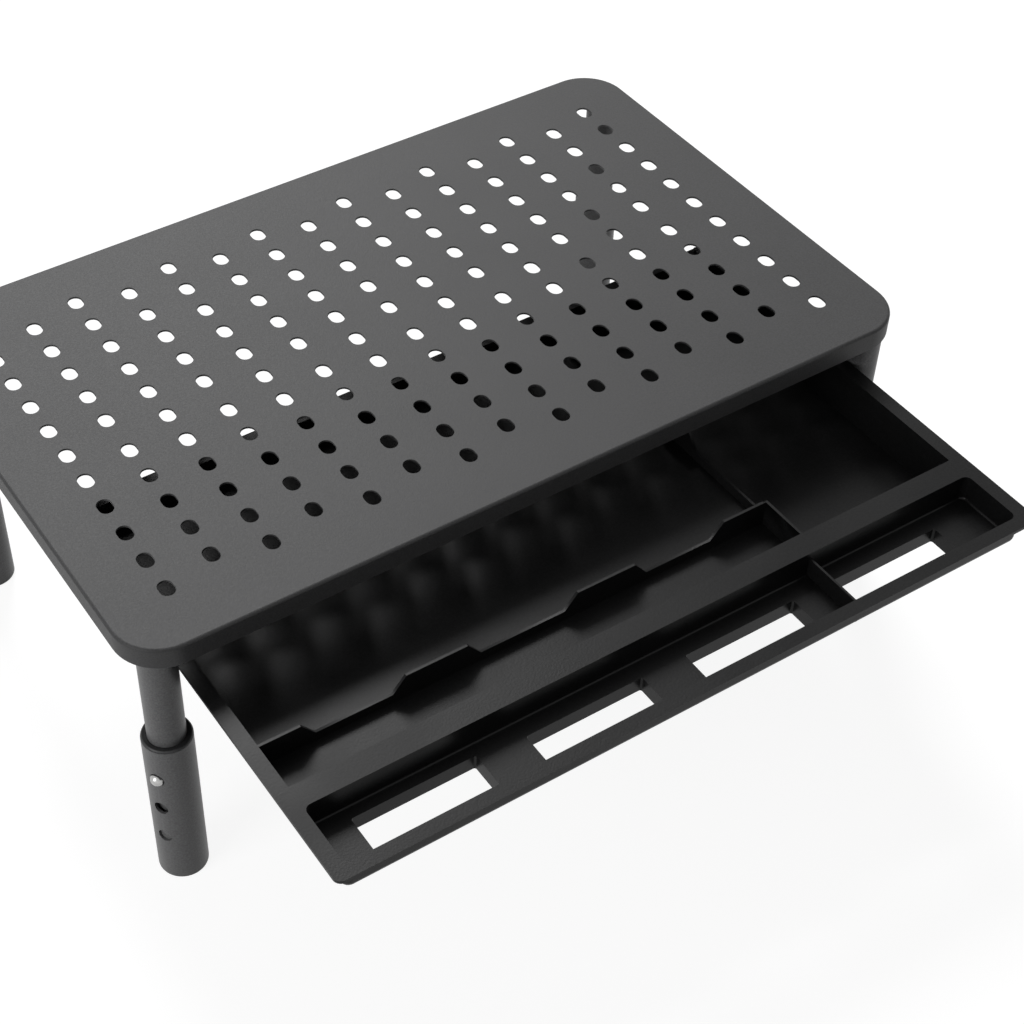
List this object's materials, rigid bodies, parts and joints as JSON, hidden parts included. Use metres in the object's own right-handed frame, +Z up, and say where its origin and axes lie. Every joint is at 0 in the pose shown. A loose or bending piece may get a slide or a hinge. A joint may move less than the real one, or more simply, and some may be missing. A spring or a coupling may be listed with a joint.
{
  "type": "laptop stand with drawer",
  "caption": "Low perforated desk stand on sliding tube legs with locking buttons, and a pull-out organiser drawer with bins, pen tray and windowed front trough.",
  "frame": {"origin": "on the floor under the middle of the plate, at the upper of the two leg settings", "axes": "+Z up, +X to the right, -Y to the front where the drawer pulls out"},
  "size_m": [0.38, 0.3427, 0.1426],
  "materials": {
    "powder_coat": "fine textured black powder coat on steel",
    "drawer_plastic": "moulded black plastic, satin",
    "bush_plastic": "moulded black plastic",
    "plated_clip": "bright plated spring steel",
    "foot_pads": "matt black rubber"
  },
  "bodies": {
    "stand": {"top_plate": "powder_coat", "left_front_tube": "powder_coat", "right_front_tube": "powder_coat", "left_rear_tube": "powder_coat", "right_rear_tube": "powder_coat", "weld_beads": "powder_coat", "glide_rings": "bush_plastic", "left_rail": "powder_coat", "right_rail": "powder_coat"},
    "drawer": {"drawer_tray": "drawer_plastic", "stop_pins": "bush_plastic"},
    "left_front_leg": {"left_front_sleeve": "powder_coat", "left_front_guide_bush": "bush_plastic", "left_front_foot_insert": "bush_plastic", "left_front_foot_pad": "foot_pads"},
    "right_front_leg": {"right_front_sleeve": "powder_coat", "right_front_guide_bush": "bush_plastic", "right_front_foot_insert": "bush_plastic", "right_front_foot_pad": "foot_pads"},
    "left_rear_leg": {"left_rear_sleeve": "powder_coat", "left_rear_guide_bush": "bush_plastic", "left_rear_foot_insert": "bush_plastic", "left_rear_foot_pad": "foot_pads"},
    "right_rear_leg": {"right_rear_sleeve": "powder_coat", "right_rear_guide_bush": "bush_plastic", "right_rear_foot_insert": "bush_plastic", "right_rear_foot_pad": "foot_pads"},
    "left_front_lock": {"left_front_lock_clip": "plated_clip"},
    "right_front_lock": {"right_front_lock_clip": "plated_clip"},
    "left_rear_lock": {"left_rear_lock_clip": "plated_clip"},
    "right_rear_lock": {"right_rear_lock_clip": "plated_clip"}
  },
  "joints": [
    {"name": "drawer_slide", "type": "slide", "parent": "stand", "child": "drawer", "axis": [0, 1, 0], "range_m": [0, 0.108]},
    {"name": "left_front_leg_step", "type": "slide", "parent": "stand", "child": "left_front_leg", "axis": [0, 0, 1], "range_m": [0, 0.0185]},
    {"name": "right_front_leg_step", "type": "slide", "parent": "stand", "child": "right_front_leg", "axis": [0, 0, 1], "range_m": [0, 0.0185]},
    {"name": "left_rear_leg_step", "type": "slide", "parent": "stand", "child": "left_rear_leg", "axis": [0, 0, 1], "range_m": [0, 0.0185]},
    {"name": "right_rear_leg_step", "type": "slide", "parent": "stand", "child": "right_rear_leg", "axis": [0, 0, 1], "range_m": [0, 0.0185]},
    {"name": "left_front_button_press", "type": "slide", "parent": "stand", "child": "left_front_lock", "axis": [0.8572, 0.515, 0], "range_m": [0, 0.0035], "stiffness_N_per_m": 3000, "springref_m": -0.001, "deforming": ["left_front_lock_clip"]},
    {"name": "right_front_button_press", "type": "slide", "parent": "stand", "child": "right_front_lock", "axis": [-0.8572, 0.515, 0], "range_m": [0, 0.0035], "stiffness_N_per_m": 3000, "springref_m": -0.001, "deforming": ["right_front_lock_clip"]},
    {"name": "left_rear_button_press", "type": "slide", "parent": "stand", "child": "left_rear_lock", "axis": [0.8572, -0.515, 0], "range_m": [0, 0.0035], "stiffness_N_per_m": 3000, "springref_m": -0.001, "deforming": ["left_rear_lock_clip"]},
    {"name": "right_rear_button_press", "type": "slide", "parent": "stand", "child": "right_rear_lock", "axis": [-0.8572, -0.515, 0], "range_m": [0, 0.0035], "stiffness_N_per_m": 3000, "springref_m": -0.001, "deforming": ["right_rear_lock_clip"]}
  ]
}
